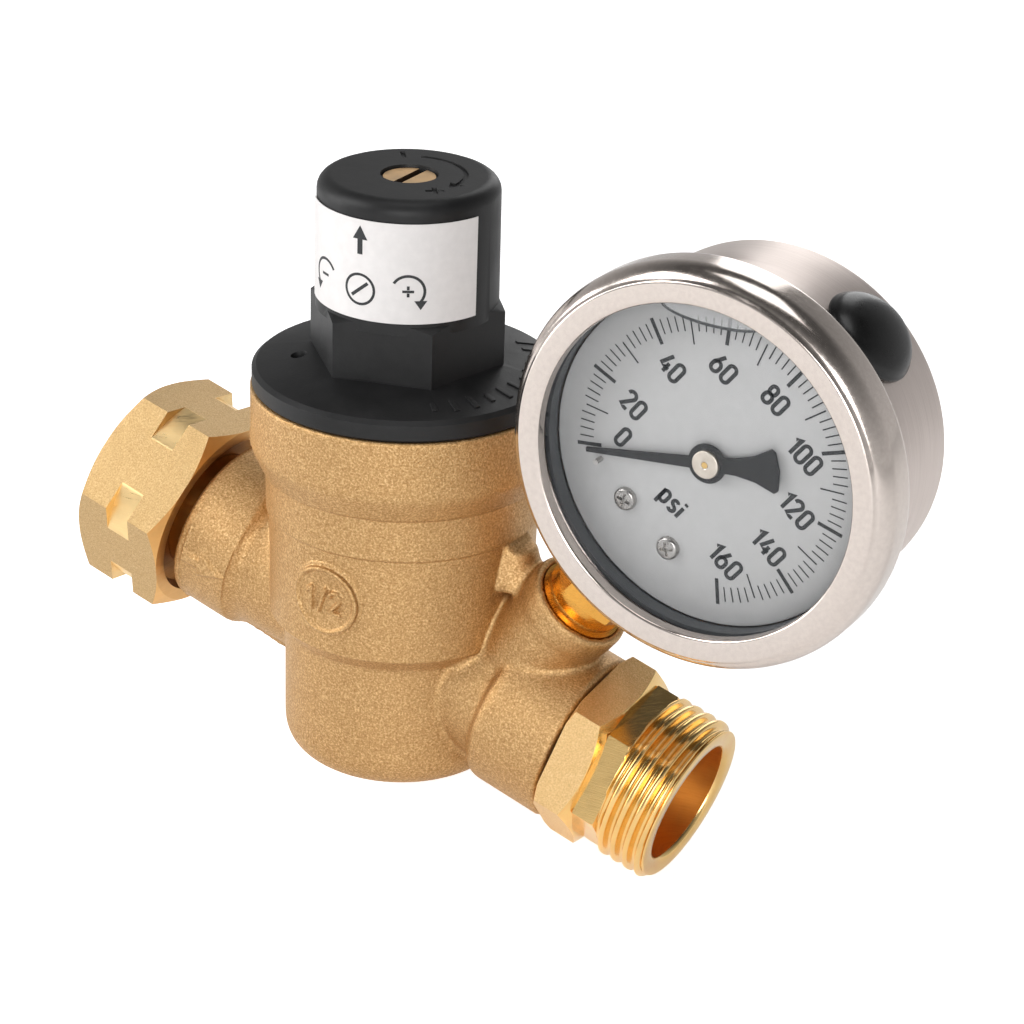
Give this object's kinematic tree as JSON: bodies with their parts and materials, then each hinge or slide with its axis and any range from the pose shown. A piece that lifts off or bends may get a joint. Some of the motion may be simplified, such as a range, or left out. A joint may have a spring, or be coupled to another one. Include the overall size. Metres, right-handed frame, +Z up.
{
  "type": "pressure reducing valve",
  "caption": "Cast body water pressure reducing valve with screwed-in cartridge, swivel inlet nut, hose-thread outlet and a liquid-filled dial gauge.",
  "frame": {"origin": "where the pipe axis crosses the cartridge axis", "axes": "+Z up along the cartridge axis to the cap, +X towards the outlet, which slopes down 15 degrees, -Y the way the dial faces"},
  "size_m": [0.1465, 0.0474, 0.1068],
  "materials": {
    "cast_brass": "shot-blasted matt",
    "forged_brass": "fine blasted, satin",
    "turned_brass": "turned, polished",
    "screw_brass": "turned, satin",
    "cap_plastic": "moulded, fine satin",
    "label": "satin film",
    "rubber": "matt",
    "rubber_plug": "smooth, semi-gloss",
    "acetal": "moulded",
    "spring_steel": "bright drawn",
    "mesh_steel": "woven wire",
    "brushed_case": "brushed round the case",
    "polished_bezel": "polished",
    "window": "clear",
    "dial_paint": "matt light grey",
    "pointer_black": "matt black"
  },
  "bodies": {
    "valve": {"valve_body": "cast_brass", "inlet_tailpiece": "turned_brass", "hose_washer": "rubber", "inlet_strainer": "mesh_steel", "outlet_adapter": "turned_brass", "outlet_oring": "rubber", "cartridge_cap": "cap_plastic", "cap_label": "label", "cap_gasket": "rubber", "thrust_washer": "acetal", "main_spring": "spring_steel", "cartridge_sleeve": "turned_brass", "sleeve_upper_oring": "rubber", "sleeve_lower_oring": "rubber", "cartridge_cage": "acetal", "cartridge_strainer": "mesh_steel", "gauge_stem": "turned_brass", "gauge_seal_ring": "rubber", "gauge_case": "brushed_case", "gauge_bezel": "polished_bezel", "bezel_gasket": "rubber", "gauge_window": "window", "gauge_dial": "dial_paint", "dial_screws": "spring_steel", "stop_pin": "spring_steel", "hairspring": "turned_brass", "movement_rear_plate": "turned_brass", "movement_front_plate": "turned_brass", "movement_posts": "turned_brass", "bourdon_tube": "turned_brass", "tube_tip": "turned_brass", "fill_plug": "rubber_plug"},
    "swivel_nut": {"inlet_nut": "forged_brass"},
    "screw": {"adjusting_screw": "screw_brass", "screw_oring": "rubber"},
    "nut_carrier": {"spring_nut": "turned_brass"},
    "piston_group": {"piston": "turned_brass", "piston_oring": "rubber", "piston_stem": "spring_steel", "seat_disc": "rubber", "disc_holder": "turned_brass", "disc_nut": "spring_steel", "spring_washer": "spring_steel"},
    "pointer_group": {"pinion_shaft": "turned_brass", "pointer": "pointer_black", "pointer_hub": "spring_steel"},
    "sector": {"sector_gear": "turned_brass", "sector_shaft": "spring_steel"},
    "link": {"movement_link": "spring_steel"}
  },
  "joints": [
    {"name": "inlet_nut_swivel", "type": "hinge", "parent": "valve", "child": "swivel_nut", "pos_m": [-0.04347, 0, 0.01165], "axis": [0.9659, 0, -0.2588], "continuous": true},
    {"name": "adjusting_screw_turn", "type": "hinge", "parent": "valve", "child": "screw", "pos_m": [0, 0, 0.07], "axis": [0, 0, -1], "range_deg": [-720, 2160]},
    {"name": "spring_nut_travel", "type": "slide", "parent": "valve", "child": "nut_carrier", "axis": [0, 0, -1], "range_m": [-0.0021, 0.0061], "deforming": ["main_spring"]},
    {"name": "piston_stroke", "type": "slide", "parent": "valve", "child": "piston_group", "axis": [0, 0, 1], "range_m": [0, 0.0025], "stiffness_N_per_m": 300, "springref_m": -0.001, "deforming": ["main_spring"]},
    {"name": "pointer_sweep", "type": "hinge", "parent": "valve", "child": "pointer_group", "pos_m": [0.06081, -0.016, 0.05031], "axis": [0, 1, 0], "range_deg": [0, 270], "stiffness_Nm_per_rad": 0.00002},
    {"name": "sector_swing", "type": "hinge", "parent": "valve", "child": "sector", "pos_m": [0.05197, -0.0087, 0.04922], "axis": [0, 1, 0], "range_deg": [-40.5, 0.5]},
    {"name": "link_swing", "type": "hinge", "parent": "sector", "child": "link", "pos_m": [0.0475, -0.0096, 0.04867], "axis": [0, 1, 0], "range_deg": [-0.5, 40.5]}
  ],
  "couplings": [
    {"joint": "spring_nut_travel", "follows": "adjusting_screw_turn", "m_per_rad": 0.00015915},
    {"joint": "sector_swing", "follows": "pointer_sweep", "ratio": -0.14815},
    {"joint": "link_swing", "follows": "pointer_sweep", "ratio": 0.14815}
  ]
}
